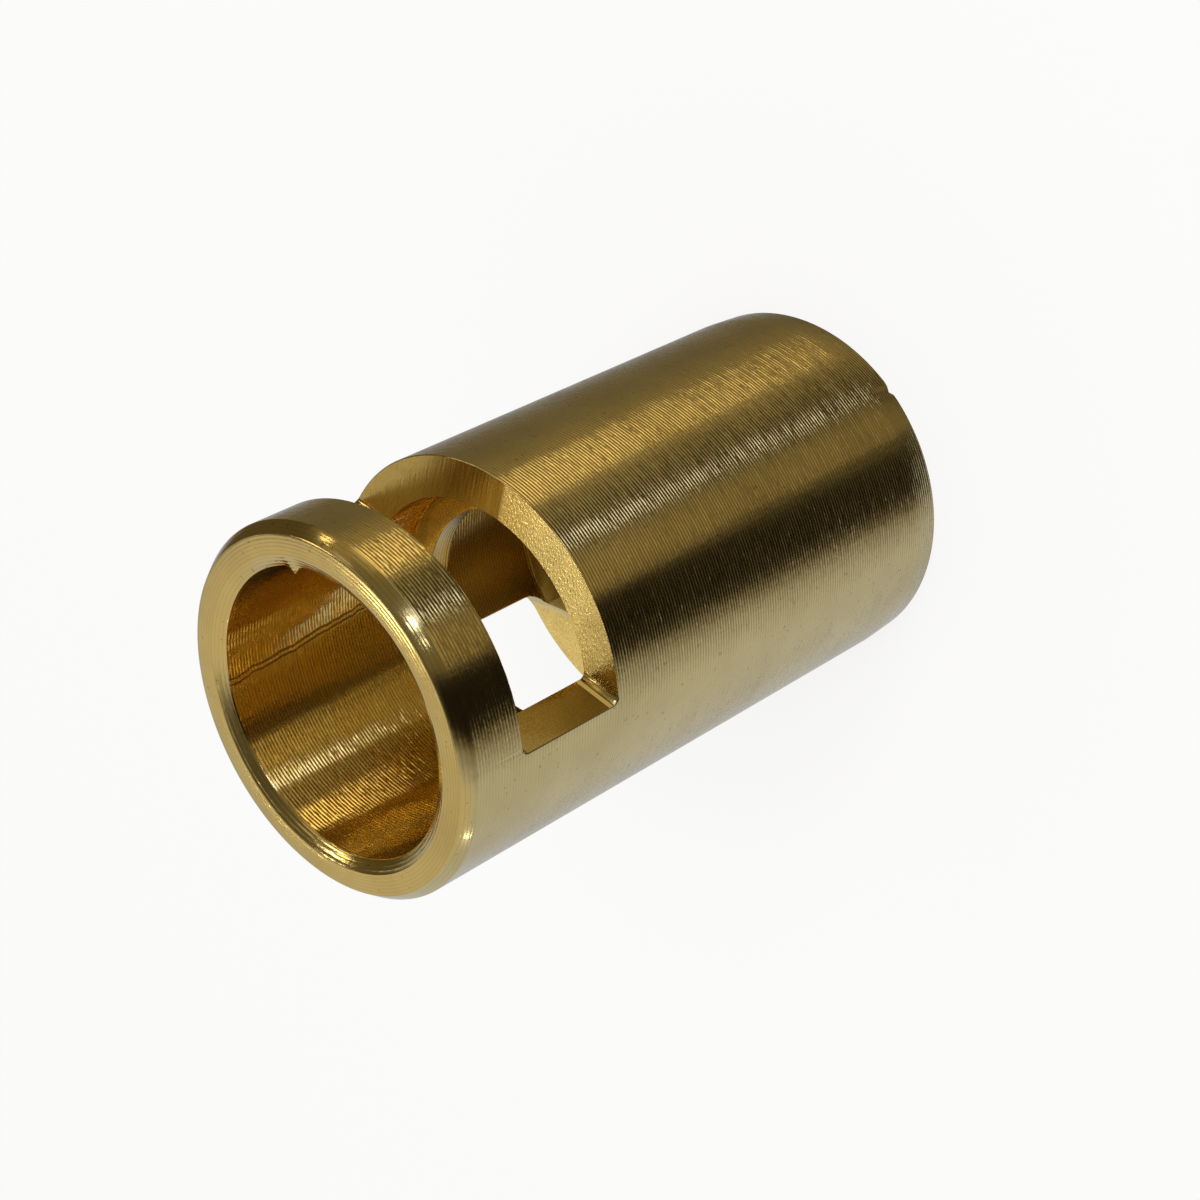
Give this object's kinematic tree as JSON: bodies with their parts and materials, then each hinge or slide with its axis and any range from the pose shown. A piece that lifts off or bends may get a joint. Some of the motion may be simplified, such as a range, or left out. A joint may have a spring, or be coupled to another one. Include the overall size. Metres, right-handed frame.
{
  "type": "throttle valve bushing",
  "caption": "Turned brass valve sleeve with a chamfered ring end, a milled cross slot, a stepped bore and an opposite port in its inner groove.",
  "frame": {"origin": "centre of the plain end's face, which the bushing stands on", "axes": "+Z along the bushing's axis towards the ring end, -Y out of the cross slot, +Y out of the port"},
  "size_m": [0.016, 0.016, 0.0289],
  "materials": {
    "turned_brass": "satin, fine turned"
  },
  "bodies": {
    "root": {"valve_bushing": "turned_brass"}
  },
  "joints": []
}
